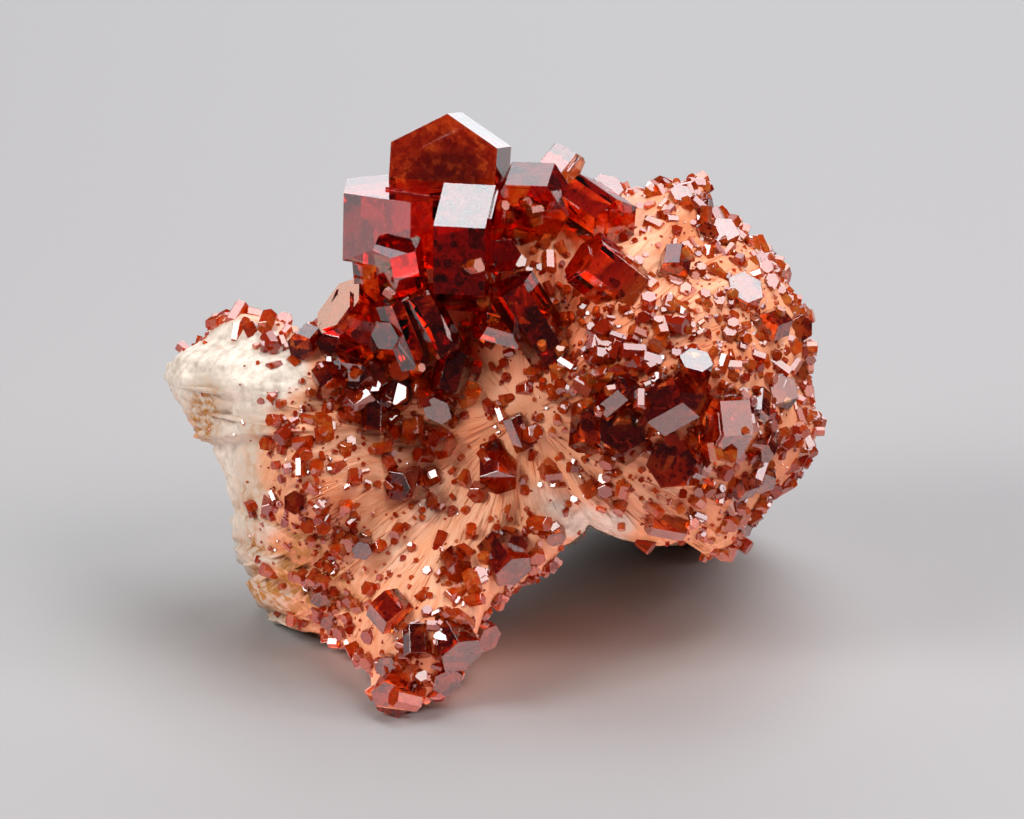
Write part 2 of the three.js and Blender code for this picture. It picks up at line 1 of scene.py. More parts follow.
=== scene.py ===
# Vanadinite crystals on a matrix of bladed barite: its looks, in metres, in the part's own frame
import json
import bpy
import numpy as np
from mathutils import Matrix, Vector
from mathutils.bvhtree import BVHTree


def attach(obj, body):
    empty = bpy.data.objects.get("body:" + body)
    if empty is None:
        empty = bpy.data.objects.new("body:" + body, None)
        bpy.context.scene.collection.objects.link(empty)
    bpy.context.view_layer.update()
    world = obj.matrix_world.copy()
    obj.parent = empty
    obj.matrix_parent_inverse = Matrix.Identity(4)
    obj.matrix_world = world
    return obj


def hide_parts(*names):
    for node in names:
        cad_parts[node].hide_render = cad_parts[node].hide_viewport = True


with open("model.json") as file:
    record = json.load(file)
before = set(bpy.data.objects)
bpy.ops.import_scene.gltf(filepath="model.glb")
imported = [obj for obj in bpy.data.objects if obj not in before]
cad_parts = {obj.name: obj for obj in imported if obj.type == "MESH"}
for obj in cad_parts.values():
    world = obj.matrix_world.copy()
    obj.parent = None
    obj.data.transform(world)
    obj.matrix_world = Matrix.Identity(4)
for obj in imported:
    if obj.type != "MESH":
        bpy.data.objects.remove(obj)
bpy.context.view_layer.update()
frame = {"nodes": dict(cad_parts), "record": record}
nodes = frame["nodes"]
tau = 2 * np.pi

# The face plane: x right, y up and z towards the eye, in mm, leaned back by lean. The foot is its
# origin, the fan is where the blades start, and the row frame is the part's own
picture = {"mmPerPixel": 0.11, "foot": (400, 716), "fan": (525, 415), "middle": (512, 409.5),
           "width": 1024, "lean": np.radians(22), "mountDepth": -4.0}


# A pixel's place on the face plane: its way from the foot, times the scale, with y upwards
def faceOf(pixels):
    scale = picture["mmPerPixel"]
    return (np.asarray(pixels, float) - picture["foot"]) * (scale, -scale)


# The face plane turned by its lean into the row frame
def turned(points):
    sine, cosine = np.sin(picture["lean"]), np.cos(picture["lean"])
    x, y, z = np.moveaxis(np.asarray(points, float), -1, 0)
    return np.stack([x, y * sine - z * cosine, y * cosine + z * sine], -1)


# Soft lights by where they stand: place, size, radiance and colour; the crystals' faces throw them back
lights = {
    "overhead": ((0.12, 0.11, 0.55), (0.48, 0.34), 5.2, (0.95, 0.97, 1.0)),
    "behind": ((0.03, 0.40, 0.15), (0.30, 0.32), 1.9, (0.95, 0.96, 1.0)),
    "rear": ((-0.08, 0.42, 0.48), (0.22, 0.12), 1.8, (0.98, 0.92, 1.0)),
    "leftBehind": ((-0.45, 0.55, 0.18), (0.16, 0.14), 3.0, (1.0, 0.64, 0.50)),
    "left": ((-0.36, -0.19, 0.02), (0.24, 0.08), 1.1, (1.0, 0.90, 0.92)),
    "right": ((0.55, -0.10, 0.42), (0.20, 0.20), 6.0, (1.0, 0.93, 0.96)),
    "rightLow": ((0.55, -0.15, 0.21), (0.22, 0.22), 3.4, (1.0, 0.64, 0.60)),
    "frontLeft": ((-0.44, -0.25, 0.42), (0.28, 0.28), 12.0, (1.0, 0.95, 0.92)),
    "frontRight": ((0.27, -0.26, 0.50), (0.26, 0.26), 6.5, (1.0, 0.95, 0.92)),
}

footMount = next(m for m in frame["record"]["mounts"] if m["name"] == "front_foot")
mountFace = (0, -picture["mountDepth"] * np.tan(picture["lean"]), picture["mountDepth"])
shift = 1000 * np.array(footMount["pos_m"]) - turned(mountFace)


def toRow(points):
    return (turned(points) + shift) / 1000


# Points below the floor are lifted straight up to it
def aboveFloor(points):
    below = np.minimum((turned(points) + shift)[:, 2], 0)
    return points - below[:, None] * np.array([0, np.cos(picture["lean"]), np.sin(picture["lean"])])


def unit(vectors):
    return vectors / np.linalg.norm(vectors, axis=-1, keepdims=True)


# A cubic ease from 0 at low to 1 at high
def smooth(value, low, high):
    t = np.clip((value - low) / (high - low), 0, 1)
    return t * t * (3 - 2 * t)


# Smooth noise from -1 to 1: hashed values on a lattice, blended with a cubic ease
def noise(points, seed):
    cell = np.floor(points).astype(np.int64)
    part = points - cell
    ease = part * part * (3 - 2 * part)
    total = 0
    for corner in np.ndindex(2, 2, 2):
        key = ((cell + corner) @ np.array([374761393, 668265263, 1440662683]) + seed * 974634293)
        key = key & 0xffffffff
        key = ((key ^ (key >> 13)) * 1274126177) & 0xffffffff
        value = ((key ^ (key >> 16)) & 0xffff) / 32767.5 - 1
        total = total + value * np.prod(np.where(corner, ease, 1 - ease), axis=-1)
    return total


# Octaves of noise, each turned against the last so that no lattice shows
def fractal(points, octaves, seed):
    turn = np.array([[0.36, 0.48, -0.8], [-0.8, 0.6, 0.0], [0.48, 0.64, 0.6]])
    total = 0
    for i in range(octaves):
        points = points @ turn
        total = total + noise(points * 2 ** i, seed + i) * 0.55 ** i
    return total


# The matrix: how fine its surface is, rim places in pixels with rim and back depths in mm, and
# lobes, which are swellings and hollows by pixel place, width and height in mm
matrixShape = {
    "spokes": 760, "frontRings": 86, "backRings": 36, "frontPower": 2 / 2.3, "backPower": 2 / 6,
    "spokeSqueeze": 0.3, "backDepth": -44, "backBlend": 0.3, "backSamples": 7,
    "lumpHeight": 0.55, "backRoughness": 2.4, "ridgeHeight": 0.35,
    "rim": [
        (818, 430, -15, -44), (809, 385, -16, -42), (808, 330, -16, -39), (790, 290, -17, -37),
        (773, 257, -17, -36), (745, 234, -18, -35), (710, 210, -18, -34), (704, 184, -19, -33),
        (680, 180, -19, -33), (650, 192, -19, -33), (615, 194, -20, -33), (556, 192, -15, -33),
        (500, 204, -13, -33), (455, 214, -12, -33), (405, 236, -12, -33), (364, 277, -13, -32),
        (338, 322, -13, -32), (312, 332, -14, -31), (264, 316, -18, -30), (235, 311, -19, -30),
        (218, 318, -20, -30), (205, 337, -20, -30), (175, 357, -20, -29), (166, 378, -20, -29),
        (180, 412, -20, -29), (190, 438, -20, -30), (216, 445, -20, -30), (226, 480, -20, -31),
        (236, 515, -20, -32), (232, 535, -21, -32), (246, 572, -22, -33), (256, 608, -23, -33),
        (285, 627, -24, -33), (320, 634, -20, -34), (350, 648, -12, -30), (370, 672, -6, -22),
        (374, 700, -3, -14), (388, 714, -1, -11), (410, 712, -1, -11), (440, 690, -2, -14),
        (462, 672, -3, -20), (476, 640, -4, -26), (484, 612, -5, -32), (505, 592, -6, -36),
        (540, 574, -7, -40), (562, 546, -8, -44), (590, 526, -9, -48), (620, 538, -10, -52),
        (660, 546, -11, -57), (685, 541, -11, -58), (707, 557, -11, -58), (735, 546, -12, -57),
        (752, 520, -13, -52), (770, 496, -14, -50), (800, 468, -15, -47)],
    "lobes": [
        (690, 385, 13, 8.5), (640, 300, 9, 2.5), (290, 480, 7, 6), (230, 385, 6, 3),
        (420, 640, 7, 4), (455, 500, 8, -4.5), (400, 430, 7, -2.5), (455, 325, 6, -2.5)],
}
# Stains, and spots of painted warm shade, as soft spots: pixel place, width in mm and strength
stainsAndShade = {
    "white": [(200, 378, 5.0, 1.2), (250, 362, 4.4, 1.2), (238, 430, 3.6, 1.1), (236, 490, 3.2, 1.1),
              (240, 545, 3.4, 1.0), (262, 610, 3.6, 0.9), (585, 522, 2.8, 0.8), (620, 532, 2.2, 0.8),
              (285, 375, 3.0, 0.7), (545, 500, 3.0, 0.5), (425, 490, 5.0, 0.42), (400, 560, 4.0, 0.36)],
    "ochre": [(206, 402, 1.9, 1.2), (198, 430, 1.7, 1.2), (262, 588, 2.8, 1.1), (300, 560, 3.2, 0.8),
              (300, 605, 3.0, 0.7), (640, 546, 2.2, 0.8), (705, 548, 2.4, 0.8), (770, 500, 2.0, 0.6),
              (252, 500, 2.0, 0.6), (345, 590, 2.4, 0.6), (264, 430, 2.6, 0.6), (258, 468, 2.2, 0.6),
              (250, 540, 2.0, 0.5), (812, 430, 1.6, 0.5)],
    "pits": [(205, 404, 2.0, 1.1), (196, 430, 1.8, 1.0), (222, 412, 1.4, 0.7)],
    # painted warm shade, in the valley and among the crystals
    "warmShade": [(600, 375, 8.0, 0.9), (440, 350, 9.0, 0.9), (520, 260, 9.0, 0.8), (700, 420, 10.0, 0.5),
             (690, 220, 6.0, 0.5), (410, 470, 6.0, 0.35), (430, 660, 6.0, 0.6), (300, 520, 6.0, 0.45),
             (350, 370, 5.0, 0.7), (765, 450, 6.0, 0.4)],
}
fan = faceOf(picture["fan"])
rimRows = np.array(matrixShape["rim"], float)
rimSpokes = faceOf(rimRows[:, :2]) - fan
rimAngles = np.arctan2(rimSpokes[:, 1], rimSpokes[:, 0]) % tau
rimRadii = np.hypot(rimSpokes[:, 0], rimSpokes[:, 1])


# The sum of soft spots: each falls off with the square of the way from its middle
def spots(rows, x, y):
    total = 0
    for px, py, width, strength in rows:
        cx, cy = faceOf((px, py))
        total = total + strength * np.exp(-((x - cx) ** 2 + (y - cy) ** 2) / width ** 2)
    return total


# Uneven ground: products of sine waves, one broad and one fine
def lumps(x, y, z):
    broad = np.sin(0.31 * x + 0.22 * z + 1.3) * np.sin(0.37 * y - 0.18 * z + 0.4)
    fine = np.sin(0.83 * x - 0.35 * y + 2.1) * np.sin(0.71 * y + 0.44 * z + 0.9)
    return matrixShape["lumpHeight"] * (broad + 0.7 * fine)


# The back's depth at an angle, averaged over a short turn so that it changes gently
def backAt(angle):
    offsets = np.linspace(-matrixShape["backBlend"], matrixShape["backBlend"], matrixShape["backSamples"])
    depths = (np.interp(angle + offset, rimAngles, rimRows[:, 3], period=tau) for offset in offsets)
    return sum(depths) / len(offsets)


# A point of the smooth matrix: step runs from 0 at the middle of the front over 1 at the rim to 2
# at the middle of the back; reach and dome are powers of its sine and cosine
def smoothMatrix(angle, step):
    isFront = step <= 1
    turn = step * np.pi / 2
    power = np.where(isFront, matrixShape["frontPower"], matrixShape["backPower"])
    reach = np.clip(np.sin(turn), 0, 1) ** power
    dome = np.abs(np.cos(turn)) ** power
    radius = np.interp(angle, rimAngles, rimRadii, period=tau)
    rim = np.interp(angle, rimAngles, rimRows[:, 2], period=tau)
    back = backAt(angle)
    x = fan[0] + reach * radius * np.cos(angle)
    y = fan[1] + reach * radius * np.sin(angle)
    fade = 1 - reach ** 6
    waves = np.sin(13 * angle + 0.6) + 0.8 * np.sin(21 * angle + 2.2)
    ridges = matrixShape["ridgeHeight"] * waves * smooth(reach, 0.2, 0.7)
    frontZ = rim - rim * dome + (spots(matrixShape["lobes"], x, y) + ridges) * fade
    middle = matrixShape["backDepth"]
    backZ = rim + (middle + (back - middle) * smooth(reach, 0.1, 0.8) - rim) * dome
    z = np.where(isFront, frontZ, backZ)
    z = z + lumps(x, y, z) * np.where(isFront, 1, matrixShape["backRoughness"]) * fade
    return np.stack([x, y, z], -1)


# Coordinates that run along the blades: a turn round the fan, bent a little, and the way out
def fibreOf(points):
    x, y = points[..., 0] - fan[0], points[..., 1] - fan[1]
    radius = np.hypot(x, y)
    bend = 0.16 * noise(points / 9, 3) + 0.05 * noise(points / 3, 4)
    angle = np.arctan2(y, x) + bend
    return np.stack([30 * np.cos(angle), 30 * np.sin(angle), radius * 0.16 + points[..., 2] * 0.05], -1)


# Ledges at the lower left: layers that climb a little to the left, from 0 at the foot of each to 1
def layerOf(points):
    x, y = points[..., 0], points[..., 1]
    layer = (0.28 * x + y + 0.9 * noise(points / 4, 31) + 0.25 * noise(points / 1.2, 32)) / 3.4
    share = np.exp(-((x + 14.5) ** 2 + (y - 14) ** 2) / 70)
    return layer - np.floor(layer), share


# Broken plates: noise cut into flat steps with steep sides
def platesOf(points):
    height = 2.6 * fractal(points / 5.0, 3, 21)
    return np.floor(height) + smooth(height - np.floor(height), 0.7, 1.0)


# Heights of the fine relief in mm
reliefShape = {"crest": 0.30, "thinCrest": 0.16, "plates": 0.24, "backPlates": 0.55, "crumbs": 0.06,
               "whiteCrumbs": 0.1, "pitCrumbs": 1.3, "backCrumbs": 0.25, "pits": 0.9, "ledges": 1.5}


# Fine relief: crests along the blades, crumbs and broken steps on the white end, ledges at the lower left
def relief(points, step):
    high = reliefShape
    x, y = points[..., 0], points[..., 1]
    white = np.clip(spots(stainsAndShade["white"], x, y), 0, 1)
    pits = np.clip(spots(stainsAndShade["pits"], x, y), 0, 1)
    radius = np.hypot(x - fan[0], y - fan[1])
    front = smooth(-step, -1.25, -0.9)
    fibre = fibreOf(points)
    crest = 1 - np.abs(noise(fibre * (1, 1, 1.4), 11))
    thin = 1 - np.abs(noise(fibre * (2.3, 2.3, 2.0), 12))
    blades = high["crest"] * (crest - 0.6) + high["thinCrest"] * (thin - 0.6)
    blades = blades * smooth(radius, 3, 11) * (1 - 0.75 * white)
    broken = platesOf(points) * (high["plates"] * white * front + high["backPlates"] * (1 - front))
    loose = (high["crumbs"] + high["whiteCrumbs"] * white + high["pitCrumbs"] * pits
             + high["backCrumbs"] * (1 - front))
    crumbs = (np.abs(fractal(points / 1.2, 2, 51)) - 0.3) * loose
    layer, share = layerOf(points)
    ledges = (layer - 0.5) * share
    return blades * front + crumbs + broken - high["pits"] * pits + high["ledges"] * ledges * front


# The way out of the matrix: to the eye at step 0, sideways at the rim and away from the eye at step 2
def outwardOf(angle, step):
    turn = step * np.pi / 2
    return np.stack([np.cos(angle) * np.sin(turn), np.sin(angle) * np.sin(turn), np.cos(turn)], -1)


def matrixAt(angle, step):
    points = smoothMatrix(angle, step)
    return points + outwardOf(angle, step) * relief(points, step)[..., None]


# The angle and step of the front's point at x and y, and its share of the way to the rim
def stepOf(x, y):
    dx, dy = x - fan[0], y - fan[1]
    angle = np.arctan2(dy, dx) % tau
    reach = np.hypot(dx, dy) / np.interp(angle, rimAngles, rimRadii, period=tau)
    sine = np.clip(reach, 0, 1) ** (1 / matrixShape["frontPower"])
    return angle, np.arcsin(sine) / (np.pi / 2), reach


def meshPiece(name, points, faces, material, isSmooth, attributes):
    mesh = bpy.data.meshes.new(name)
    mesh.from_pydata(toRow(points).reshape(-1, 3), [], faces)
    mesh.polygons.foreach_set("use_smooth", np.full(len(mesh.polygons), isSmooth))
    for key, values in attributes.items():
        isVector = values.ndim > 1
        kind, field = ("FLOAT_VECTOR", "vector") if isVector else ("FLOAT", "value")
        mesh.attributes.new(key, kind, "POINT").data.foreach_set(field, values.astype(np.float32).ravel())
    mesh.update()
    piece = bpy.data.objects.new(name, mesh)
    bpy.context.scene.collection.objects.link(piece)
    mesh.materials.append(material)
    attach(piece, "root")
    return piece


# A colour code's linear values
def linear(code):
    values = np.array([int(code[i:i + 2], 16) for i in (1, 3, 5)]) / 255
    return tuple(np.where(values <= 0.04045, values / 12.92, ((values + 0.055) / 1.055) ** 2.4)) + (1,)


def addNode(tree, kind, inputs, **settings):
    node = tree.nodes.new(kind)
    for key, value in settings.items():
        setattr(node, key, value)
    for key, value in inputs.items():
        if isinstance(value, bpy.types.NodeSocket):
            tree.links.new(value, node.inputs[key])
        else:
            node.inputs[key].default_value = value
    return node


def mixed(tree, share, first, second):
    return addNode(tree, "ShaderNodeMix", {0: share, 6: first, 7: second}, data_type="RGBA").outputs[2]


def ranged(tree, value, low, high, start=0.0, end=1.0):
    inputs = {"Value": value, "From Min": low, "From Max": high, "To Min": start, "To Max": end}
    return addNode(tree, "ShaderNodeMapRange", inputs).outputs[0]


def times(tree, first, second):
    return addNode(tree, "ShaderNodeMath", {0: first, 1: second}, operation="MULTIPLY").outputs[0]


def newMaterial(name):
    material = bpy.data.materials.new(name)
    material.use_nodes = True
    return material, material.node_tree, material.node_tree.nodes["Principled BSDF"]


def attributeOf(tree, name, output):
    return addNode(tree, "ShaderNodeAttribute", {}, attribute_name=name).outputs[output]


def noiseOf(tree, vector, scale, detail=4.0, rough=0.6, distortion=0.0):
    inputs = {"Vector": vector, "Scale": scale, "Detail": detail, "Roughness": rough,
              "Distortion": distortion}
    return addNode(tree, "ShaderNodeTexNoise", inputs).outputs["Fac"]


# Barite: peach blades streaked along the fan, white at the broken end, ochre in the ledges, and painted warm
# shade as darker orange spots
def bariteMaterial():
    material, tree, shader = newMaterial("barite")
    place = addNode(tree, "ShaderNodeTexCoord", {}).outputs["Object"]
    streak = noiseOf(tree, attributeOf(tree, "fibre", "Vector"), 1.6, 4.0, 0.6)
    grain = noiseOf(tree, place, 900.0, 3.0, 0.6)
    broad = noiseOf(tree, place, 150.0, 2.0)
    colour = mixed(tree, ranged(tree, streak, 0.3, 0.7), linear("#e6966a"), linear("#fcc8a2"))
    colour = mixed(tree, ranged(tree, broad, 0.4, 0.7, 0.0, 0.6), colour, linear("#f4a270"))
    # painted shade: the warm-shade spots turn the barite a darker orange
    warmShade = times(tree, attributeOf(tree, "warmShade", "Fac"), ranged(tree, broad, 0.3, 0.6, 0.5, 1.0))
    colour = mixed(tree, warmShade, colour, linear("#d8703e"))
    pale = mixed(tree, ranged(tree, grain, 0.35, 0.6), linear("#cfc2b2"), linear("#f2e6d8"))
    colour = mixed(tree, attributeOf(tree, "white", "Fac"), colour, pale)
    stain = times(tree, attributeOf(tree, "ochre", "Fac"), ranged(tree, grain, 0.38, 0.56))
    colour = mixed(tree, stain, colour, linear("#b5792c"))
    sugar = noiseOf(tree, place, 2600.0, 2.0)
    rubble = ranged(tree, attributeOf(tree, "white", "Fac"), 0.0, 1.0, 0.35, 1.0)
    height = mixed(tree, rubble, streak, mixed(tree, 0.6, grain, sugar))
    bump = addNode(tree, "ShaderNodeBump", {"Strength": 0.5, "Distance": 0.0002, "Height": height})
    tree.links.new(colour, shader.inputs["Base Color"])
    tree.links.new(ranged(tree, streak, 0.3, 0.7, 0.34, 0.6), shader.inputs["Roughness"])
    tree.links.new(bump.outputs[0], shader.inputs["Normal"])
    return material


# Vanadinite: plain transmission with absorption; the base colour has dark clouds and bright clouds that are
# painted glints, fiery specks that are painted glints too, and painted shade deepest at the heart of the
# crown
def vanadiniteMaterial(name, look):
    material, tree, shader = newMaterial(name)
    place = addNode(tree, "ShaderNodeTexCoord", {}).outputs["Object"]
    cloud = noiseOf(tree, place, look["cloudScale"], 3.0, 0.65, 0.8)
    speck = noiseOf(tree, place, look["speckScale"], 2.0)
    across = addNode(tree, "ShaderNodeSeparateXYZ", {"Vector": place}).outputs[0]
    side = ranged(tree, across, *look["orangeFrom"])
    deep = mixed(tree, side, linear(look["deep"]), linear(look["deepOrange"]))
    glow = mixed(tree, side, linear(look["glow"]), linear(look["glowOrange"]))
    # painted glints: the bright cloud colour stands in for light caught inside the crystal
    colour = mixed(tree, ranged(tree, cloud, 0.44, 0.6), deep, glow)
    if "shadedHeart" in look:
        shadedHeart = tuple(toRow((*faceOf(look["shadedHeart"][:2]), look["shadedHeart"][2])))
        inputs = {0: place, 1: shadedHeart}
        away = addNode(tree, "ShaderNodeVectorMath", inputs, operation="DISTANCE").outputs["Value"]
        # painted shade: darkest at the heart of the crown, gone by the far end of its reach
        heartShade = ranged(tree, away, *look["shadedHeartReach"], 0.92, 0.0)
        colour = mixed(tree, heartShade, colour, linear(look["heartShadeColour"]))
        # painted glints: fiery specks, kept out of the heart's painted shade
        fireGlint = times(tree, ranged(tree, speck, 0.52, 0.6), ranged(tree, away, *look["shadedHeartReach"], 0.15, 1.0))
        colour = mixed(tree, fireGlint, colour, linear(look["fireGlint"]))
    # the tint attribute: random redness, and for the crust also painted shade from the warm-shade spots
    if "tint" in look:
        colour = mixed(tree, attributeOf(tree, "tint", "Fac"), colour, linear(look["tint"]))
    tree.links.new(colour, shader.inputs["Base Color"])
    shader.inputs["Roughness"].default_value = look["rough"]
    shader.inputs["IOR"].default_value = look["ior"]
    shader.inputs["Transmission Weight"].default_value = look["transmission"]
    inputs = {"Color": look["inside"], "Density": look["density"]}
    inside = addNode(tree, "ShaderNodeVolumeAbsorption", inputs)
    tree.links.new(inside.outputs[0], tree.nodes["Material Output"].inputs["Volume"])
    return material


# The large crystals, with the heart of the painted shade by pixel place and depth in mm, and the small
# crystals of the crust
crystalLook = {
    "cloudScale": 240.0, "speckScale": 800.0, "orangeFrom": (0.003, 0.012), "rough": 0.03,
    "deep": "#a8380e", "glow": "#ff9a3c", "deepOrange": "#f08a3c", "glowOrange": "#ffd490",
    "ior": 2.1, "transmission": 1.0, "inside": (0.97, 0.36, 0.12, 1), "density": 420.0,
    "shadedHeart": (452, 182, -7.0), "shadedHeartReach": (0.0035, 0.0072), "heartShadeColour": "#4a0802", "fireGlint": "#ffd060"}
crustLook = {
    "cloudScale": 700.0, "speckScale": 800.0, "orangeFrom": (-0.01, 0.02), "rough": 0.03,
    "deep": "#f04e12", "glow": "#ff8434", "deepOrange": "#fc661a", "glowOrange": "#ff9a48",
    "ior": 1.9, "transmission": 0.62, "inside": (0.97, 0.45, 0.15, 1), "density": 300.0, "tint": "#c02c08"}

barite = bariteMaterial()
vanadinite = vanadiniteMaterial("vanadinite", crystalLook)
crustGlass = vanadiniteMaterial("vanadinite_crust", crustLook)

# Matrix surface: rings of spokes from the middle of the front round the rim to the middle of the
# back, with the spokes closer together at the white end
spokes, frontRings, backRings = matrixShape["spokes"], matrixShape["frontRings"], matrixShape["backRings"]
steps = np.concatenate([np.arange(1, frontRings + 1) / frontRings, 1 + np.arange(1, backRings) / backRings])
spokeTurns = np.arange(spokes) * tau / spokes
angleGrid, stepGrid = np.meshgrid(spokeTurns + matrixShape["spokeSqueeze"] * np.sin(spokeTurns), steps)
ringPoints = matrixAt(angleGrid, stepGrid).reshape(-1, 3)
poles = matrixAt(np.zeros(2), np.array([0.0, 2.0]))
matrixPoints = aboveFloor(np.concatenate([ringPoints, poles]))
ringIndex = np.arange(len(steps) * spokes).reshape(len(steps), spokes)
nextIndex = np.roll(ringIndex, -1, axis=1)
quads = np.stack([ringIndex[:-1], ringIndex[1:], nextIndex[1:], nextIndex[:-1]], -1).reshape(-1, 4)
frontFan = np.stack([np.full(spokes, len(ringPoints)), ringIndex[0], nextIndex[0]], -1)
backFan = np.stack([np.full(spokes, len(ringPoints) + 1), nextIndex[-1], ringIndex[-1]], -1)
matrixFaces = quads.tolist() + frontFan.tolist() + backFan.tolist()


# How white and ochre each point is, and how much painted warm shade it gets: soft spots made patchy by noise,
# stripes in the ledges and a blend to rough white behind; and the place along the blades for the streaks
def stainsAndShadeAt(points):
    x, y, z = np.moveaxis(points, -1, 0)
    patchy = 0.35 * fractal(points / 3, 3, 41)
    behind = smooth(-z, 16, 30)
    white = np.clip(spots(stainsAndShade["white"], x, y) * (1 + patchy) + behind * (0.5 + 0.6 * patchy), 0, 1)
    ochre = np.clip(spots(stainsAndShade["ochre"], x, y) * (1 + 2 * patchy) + 0.5 * behind * (patchy + 0.1), 0, 1)
    layer, share = layerOf(points)
    ochre = np.clip(ochre + 0.9 * share * smooth(-layer, -0.42, -0.12) * (0.75 + patchy) * (1 - behind), 0, 1)
    white = np.clip(white + 0.8 * share * smooth(layer, 0.5, 0.9) * smooth(-x, 10, 17) * (1 - behind), 0, 1)
    warmShade = np.clip(spots(stainsAndShade["warmShade"], x, y) * (1 + patchy) * (1 - behind) * (1 - white), 0, 1)
    return {"white": smooth(white, 0.25, 0.75), "ochre": ochre, "warmShade": warmShade,
            "fibre": fibreOf(points) * (1 - behind[..., None]) + 1.3 * points * behind[..., None]}


matrixPiece = meshPiece("barite_matrix", matrixPoints, matrixFaces, barite, True, stainsAndShadeAt(matrixPoints))
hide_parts("matrix")
print("matrix", len(matrixFaces), "faces")

# Blades: low arched plates on edge along the fan. A plate is a profile of six points, from its
# root over a narrow crest, carried along a path on the matrix. Rows are the crests of the solid:
# pixel place, length, height and width
bladeShape = {"count": 700, "stations": 7, "root": 0.7, "seed": 5, "base": 0.06, "whiteLoss": 0.93,
              "lengths": (0.9, 3.2), "crests": (0.02, 0.12), "widths": (0.1, 0.24),
              "rowCrest": 0.2, "rowWidth": 0.6, "sway": 0.09, "ragged": 0.18,
              "profile": [(-0.5, -1), (-0.42, 0.35), (-0.12, 1.0), (0.12, 1.0), (0.42, 0.35), (0.5, -1)],
              "rows": [(262, 560, 9, 1.6, 1.1), (300, 612, 10, 1.7, 1.2), (338, 575, 9, 1.8, 1.0),
                       (356, 500, 10, 1.6, 0.9), (385, 520, 10, 1.3, 1.0), (405, 548, 11, 1.4, 1.1),
                       (470, 540, 8, 1.4, 1.0), (602, 510, 6, 1.4, 1.1), (690, 520, 7, 1.5, 1.1),
                       (716, 536, 6, 1.3, 1.0), (655, 300, 9, 1.2, 1.1), (708, 262, 8, 1.2, 1.0),
                       (205, 390, 8, 1.5, 1.3), (240, 420, 8, 1.4, 1.2)],
              "density": [(440, 500, 9, 1.2), (400, 580, 7, 1.2), (690, 280, 8, 1.0), (620, 500, 6, 1.0),
                          (690, 525, 5, 1.6), (560, 440, 5, 0.6), (300, 590, 5, 0.8), (350, 440, 6, 0.6),
                          (600, 350, 5, 0.5), (770, 330, 5, 0.5), (330, 510, 5, 0.6)]}


# Random places on the front, kept by chance where the density spots are strong and the white is weak
scatter = {"across": (160, 822), "down": (172, 716), "tries": 40, "strongest": 1.8, "reach": 0.985}


def scattered(rows, base, count, whiteLoss, random):
    tries = count * scatter["tries"]
    across, down = random.uniform(*scatter["across"], tries), random.uniform(*scatter["down"], tries)
    x, y = faceOf(np.stack([across, down], -1)).T
    angle, step, reach = stepOf(x, y)
    white = np.clip(spots(stainsAndShade["white"], x, y), 0, 1)
    density = (base + spots(rows, x, y)) * (1 - whiteLoss * white) * (reach < scatter["reach"])
    keep = np.flatnonzero(random.uniform(0, scatter["strongest"], len(x)) < density)[:count]
    return x[keep], y[keep], angle[keep], step[keep]


def bladePlates():
    random = np.random.default_rng(bladeShape["seed"])
    x, y, _, _ = scattered(bladeShape["density"], bladeShape["base"], bladeShape["count"],
                           bladeShape["whiteLoss"], random)
    count = len(x)
    length = random.uniform(*bladeShape["lengths"], count)
    crest = random.uniform(*bladeShape["crests"], count)
    width = random.uniform(*bladeShape["widths"], count)
    rows = np.array(bladeShape["rows"], float)
    rowPlaces = faceOf(rows[:, :2])
    x, y = np.concatenate([x, rowPlaces[:, 0]]), np.concatenate([y, rowPlaces[:, 1]])
    length = np.concatenate([length, rows[:, 2]])
    crest = np.concatenate([crest, rows[:, 3] * bladeShape["rowCrest"]])
    width = np.concatenate([width, rows[:, 4] * bladeShape["rowWidth"]])
    bend = 0.16 * noise(np.stack([x, y, 0 * x], -1) / 9, 3) + random.normal(0, bladeShape["sway"], len(x))
    heading = np.arctan2(y - fan[1], x - fan[0]) + bend
    along = np.linspace(-1, 1, bladeShape["stations"])
    pathX = x[:, None] + np.cos(heading)[:, None] * length[:, None] / 2 * along
    pathY = y[:, None] + np.sin(heading)[:, None] * length[:, None] / 2 * along
    angle, step, _ = stepOf(pathX, pathY)
    path = smoothMatrix(angle, step)
    tangent = unit(np.gradient(path, axis=1) + (1e-6, 0, 0))
    outward = outwardOf(angle, step)
    aside = unit(np.cross(tangent, outward))
    arch = np.clip(1 - np.abs(along + 0.25 * (1 - along ** 2)) ** 2.4, 0, 1)
    ragged = 1 + bladeShape["ragged"] * random.normal(0, 1, path.shape[:2])
    rise = crest[:, None] * arch * ragged
    thin = width[:, None] * (0.25 + 0.75 * arch)
    sunk = np.full_like(rise, bladeShape["root"])
    rings = [path + aside * (thin * across)[..., None]
             + outward * ((rise + 0.1) * up if up > 0 else sunk * up)[..., None]
             for across, up in bladeShape["profile"]]
    points = np.stack(rings, 2)
    plates, stations, around = points.shape[:3]
    index = np.arange(plates * stations * around).reshape(plates, stations, around)
    turnedIndex = np.roll(index, -1, axis=2)
    sides = np.stack([index[:, :-1], index[:, 1:], turnedIndex[:, 1:], turnedIndex[:, :-1]], -1)
    sides = sides.reshape(-1, 4)
    ends = np.concatenate([index[:, 0], index[:, -1, ::-1]])
    return aboveFloor(points.reshape(-1, 3)), sides.tolist() + ends.tolist()


bladePoints, bladeFaces = bladePlates()
bladePiece = meshPiece("barite_blades", bladePoints, bladeFaces, barite, False, stainsAndShadeAt(bladePoints))
print("blades", len(bladeFaces), "faces")

# Crystals: six corners round an axis at three heights, the foot, the shoulder and the free end
prismShape = {"chamfer": 0.06, "corners": 18}


